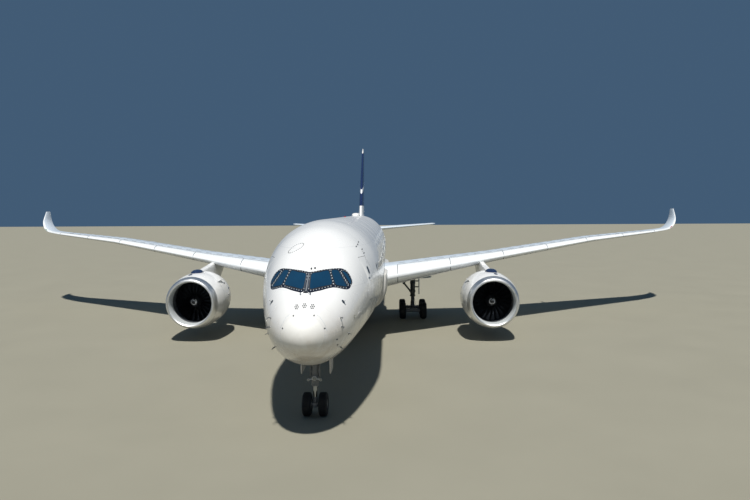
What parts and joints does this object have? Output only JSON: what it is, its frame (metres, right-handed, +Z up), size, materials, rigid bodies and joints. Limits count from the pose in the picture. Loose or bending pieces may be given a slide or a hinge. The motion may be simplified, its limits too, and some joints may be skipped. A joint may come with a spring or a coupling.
{
  "type": "half-size scale model airliner",
  "caption": "Wide-body twin-engine jet airliner on its landing gear, with turning fans and wheels, working flaps, control surfaces, steering and cargo doors; half-size scale model.",
  "frame": {"origin": "on the ground, at the middle of the overall width and of the overall length", "axes": "+Z up; +Y aft along the fuselage, the nose points to -Y; +X to port"},
  "size_m": [32.3836, 33.4, 8.525],
  "materials": {
    "white_paint": "gloss",
    "wing_paint": "satin",
    "tail_paint": "gloss",
    "nacelle_paint": "gloss",
    "cockpit_glazing": "polished",
    "fan_blades": "satin",
    "core_metal": "satin",
    "gear_leg": "satin",
    "wheel_rim": "satin",
    "tyre": "matte"
  },
  "bodies": {
    "airframe": {"radome": "white_paint", "nose_section": "white_paint", "forward_fuselage": "white_paint", "centre_fuselage": "white_paint", "aft_fuselage": "white_paint", "tail_cone": "white_paint", "door_1_left": "white_paint", "door_1_right": "white_paint", "door_2_left": "white_paint", "door_2_right": "white_paint", "door_3_left": "white_paint", "door_3_right": "white_paint", "door_4_left": "white_paint", "door_4_right": "white_paint", "cockpit_windows": "cockpit_glazing", "wing_left": "wing_paint", "wing_right": "wing_paint", "belly_fairing": "white_paint", "fin": "tail_paint", "nacelle_left": "nacelle_paint", "engine_core_left": "core_metal", "pylon_left": "white_paint", "nacelle_right": "nacelle_paint", "engine_core_right": "core_metal", "pylon_right": "white_paint", "nose_leg": "gear_leg", "nose_gear_door_left": "white_paint", "nose_gear_door_right": "white_paint", "main_leg_left": "gear_leg", "main_leg_right": "gear_leg"},
    "cargo_door_forward": {"cargo_door_forward": "white_paint"},
    "cargo_door_aft": {"cargo_door_aft": "white_paint"},
    "flap_inboard_left": {"flap_inboard_left": "wing_paint"},
    "flap_outboard_left": {"flap_outboard_left": "wing_paint"},
    "aileron_left": {"aileron_left": "wing_paint"},
    "elevator_left": {"elevator_left": "white_paint"},
    "fan_left": {"fan_left": "fan_blades"},
    "flap_inboard_right": {"flap_inboard_right": "wing_paint"},
    "flap_outboard_right": {"flap_outboard_right": "wing_paint"},
    "aileron_right": {"aileron_right": "wing_paint"},
    "elevator_right": {"elevator_right": "white_paint"},
    "fan_right": {"fan_right": "fan_blades"},
    "rudder": {"rudder": "tail_paint"},
    "tailplane": {"tailplane": "white_paint"},
    "nose_steering": {"nose_steering": "gear_leg"},
    "nose_wheels": {"nose_wheels_rims": "wheel_rim", "nose_wheels_tyre_left": "tyre", "nose_wheels_tyre_right": "tyre"},
    "main_wheels_front_left": {"main_wheels_front_left_rims": "wheel_rim", "main_wheels_front_left_tyre_left": "tyre", "main_wheels_front_left_tyre_right": "tyre"},
    "main_wheels_front_right": {"main_wheels_front_right_rims": "wheel_rim", "main_wheels_front_right_tyre_left": "tyre", "main_wheels_front_right_tyre_right": "tyre"},
    "main_wheels_rear_left": {"main_wheels_rear_left_rims": "wheel_rim", "main_wheels_rear_left_tyre_left": "tyre", "main_wheels_rear_left_tyre_right": "tyre"},
    "main_wheels_rear_right": {"main_wheels_rear_right_rims": "wheel_rim", "main_wheels_rear_right_tyre_left": "tyre", "main_wheels_rear_right_tyre_right": "tyre"}
  },
  "joints": [
    {"name": "cargo_door_forward_hinge", "type": "hinge", "parent": "airframe", "child": "cargo_door_forward", "pos_m": [-1.4441, -10.4, 2.425], "axis": [0, 1, 0], "range_deg": [0, 95]},
    {"name": "cargo_door_aft_hinge", "type": "hinge", "parent": "airframe", "child": "cargo_door_aft", "pos_m": [-1.44341, 5.5, 2.425], "axis": [0, 1, 0], "range_deg": [0, 95]},
    {"name": "flap_inboard_left_hinge", "type": "hinge", "parent": "airframe", "child": "flap_inboard_left", "pos_m": [1.81, 0.21656, 1.56391], "axis": [-0.9803, -0.0388, -0.1935], "range_deg": [0, 35]},
    {"name": "flap_outboard_left_hinge", "type": "hinge", "parent": "airframe", "child": "flap_outboard_left", "pos_m": [6.075, 0.59573, 2.42785], "axis": [-0.8949, -0.4288, -0.1234], "range_deg": [0, 35]},
    {"name": "aileron_left_hinge", "type": "hinge", "parent": "airframe", "child": "aileron_left", "pos_m": [10.97491, 2.90543, 3.27706], "axis": [-0.8923, -0.4466, -0.0654], "range_deg": [-25, 25]},
    {"name": "flap_inboard_right_hinge", "type": "hinge", "parent": "airframe", "child": "flap_inboard_right", "pos_m": [-1.81, 0.21656, 1.56391], "axis": [-0.9803, 0.0388, 0.1935], "range_deg": [0, 35]},
    {"name": "flap_outboard_right_hinge", "type": "hinge", "parent": "airframe", "child": "flap_outboard_right", "pos_m": [-6.075, 0.59573, 2.42785], "axis": [-0.8949, 0.4288, 0.1234], "range_deg": [0, 35]},
    {"name": "aileron_right_hinge", "type": "hinge", "parent": "airframe", "child": "aileron_right", "pos_m": [-10.97491, 2.90543, 3.27706], "axis": [-0.8923, 0.4466, 0.0654], "range_deg": [-25, 25]},
    {"name": "rudder_hinge", "type": "hinge", "parent": "airframe", "child": "rudder", "pos_m": [0, 13.64157, 4.875], "axis": [0, 0.4573, 0.8893], "range_deg": [-30, 30]},
    {"name": "tailplane_trim", "type": "hinge", "parent": "airframe", "child": "tailplane", "pos_m": [0, 13.9, 3.445], "axis": [-1, 0, 0], "range_deg": [-12, 3]},
    {"name": "elevator_left_hinge", "type": "hinge", "parent": "tailplane", "child": "elevator_left", "pos_m": [0.975, 14.60384, 3.47905], "axis": [-0.9064, -0.4182, -0.0594], "range_deg": [-30, 15]},
    {"name": "elevator_right_hinge", "type": "hinge", "parent": "tailplane", "child": "elevator_right", "pos_m": [-0.975, 14.60384, 3.47905], "axis": [-0.9064, 0.4182, 0.0594], "range_deg": [-30, 15]},
    {"name": "fan_left_spin", "type": "hinge", "parent": "airframe", "child": "fan_left", "pos_m": [5.25, -5.16, 1.37], "axis": [0, 1, 0], "continuous": true},
    {"name": "fan_right_spin", "type": "hinge", "parent": "airframe", "child": "fan_right", "pos_m": [-5.25, -5.16, 1.37], "axis": [0, 1, 0], "continuous": true},
    {"name": "nose_steering_turn", "type": "hinge", "parent": "airframe", "child": "nose_steering", "pos_m": [0, -14.4, 0.8], "axis": [0, 0, 1], "range_deg": [-70, 70]},
    {"name": "nose_wheels_roll", "type": "hinge", "parent": "nose_steering", "child": "nose_wheels", "pos_m": [0, -14.4, 0.2625], "axis": [1, 0, 0], "continuous": true},
    {"name": "main_wheels_front_left_roll", "type": "hinge", "parent": "airframe", "child": "main_wheels_front_left", "pos_m": [2.65, -0.58, 0.35], "axis": [1, 0, 0], "continuous": true},
    {"name": "main_wheels_front_right_roll", "type": "hinge", "parent": "airframe", "child": "main_wheels_front_right", "pos_m": [-2.65, -0.58, 0.35], "axis": [1, 0, 0], "continuous": true},
    {"name": "main_wheels_rear_left_roll", "type": "hinge", "parent": "airframe", "child": "main_wheels_rear_left", "pos_m": [2.65, 0.44, 0.35], "axis": [1, 0, 0], "continuous": true},
    {"name": "main_wheels_rear_right_roll", "type": "hinge", "parent": "airframe", "child": "main_wheels_rear_right", "pos_m": [-2.65, 0.44, 0.35], "axis": [1, 0, 0], "continuous": true}
  ]
}
